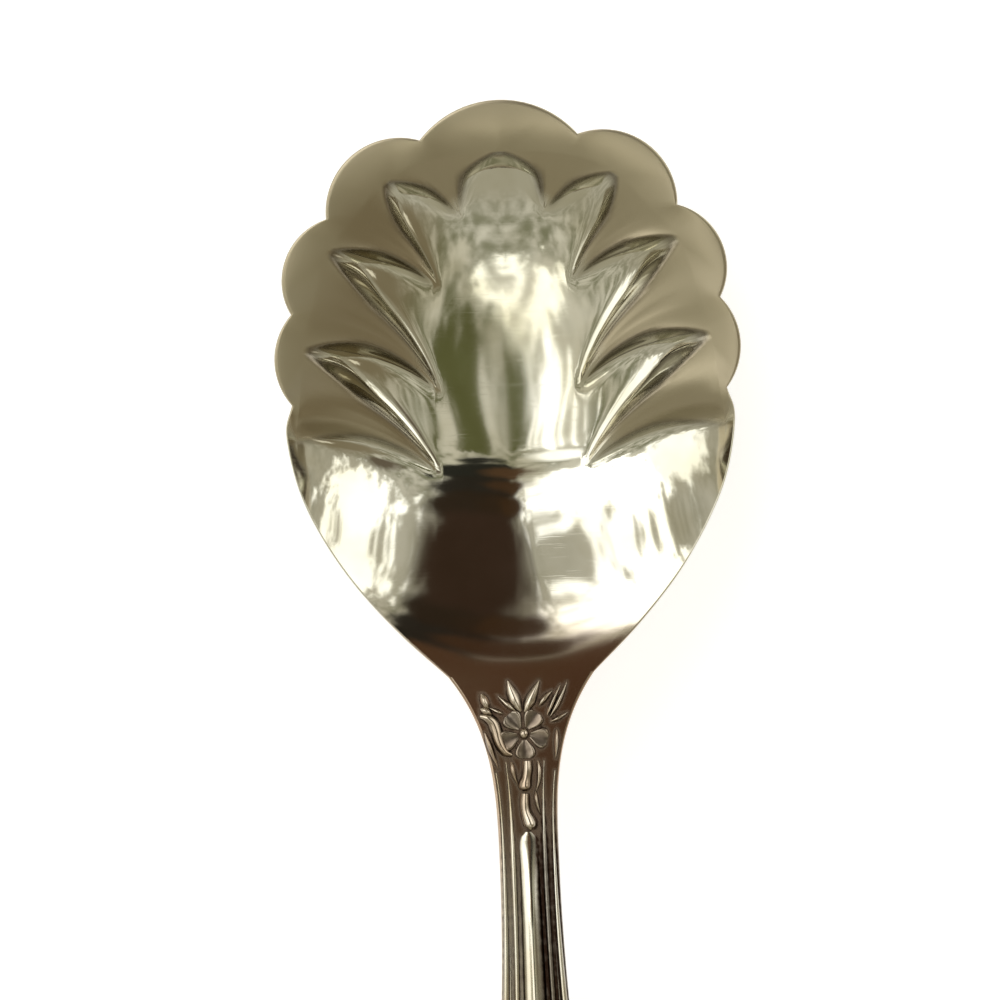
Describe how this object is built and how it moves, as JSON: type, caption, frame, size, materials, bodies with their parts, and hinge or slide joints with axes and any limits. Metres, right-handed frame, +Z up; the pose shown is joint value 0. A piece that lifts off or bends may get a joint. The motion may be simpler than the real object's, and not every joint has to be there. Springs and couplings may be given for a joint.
{
  "type": "sugar spoon",
  "caption": "Silver-plated sugar spoon with a fluted, scallop-edged shell bowl and an arched handle with a centre rib, side fillets and a floral spray.",
  "frame": {"origin": "on the table, under the middle of the spoon's length, on its plane of symmetry", "axes": "+Z up, out of the bowl; +Y along the spoon, from the end of the handle to the tip of the bowl; +X to the right when looking from the handle's end to the bowl"},
  "size_m": [0.042, 0.152, 0.0182],
  "materials": {
    "bright_plate": "polished silver plate, lightly worn, with fine hairline scratches",
    "toned_plate": "silver plate with a warm tarnish tone in the sunk ground of the handle",
    "relief_plate": "die-struck relief in silver plate, bright on its tops and dark in its corners"
  },
  "bodies": {
    "root": {"bowl": "bright_plate", "neck": "toned_plate", "stem": "toned_plate", "handle_end": "toned_plate", "centre_rib": "bright_plate", "side_fillets": "bright_plate", "fine_lines": "bright_plate", "border": "bright_plate", "neck_flower": "relief_plate", "neck_leaves": "relief_plate", "neck_drops": "relief_plate", "end_flower": "relief_plate", "end_leaves": "relief_plate", "end_drops": "relief_plate"}
  },
  "joints": []
}
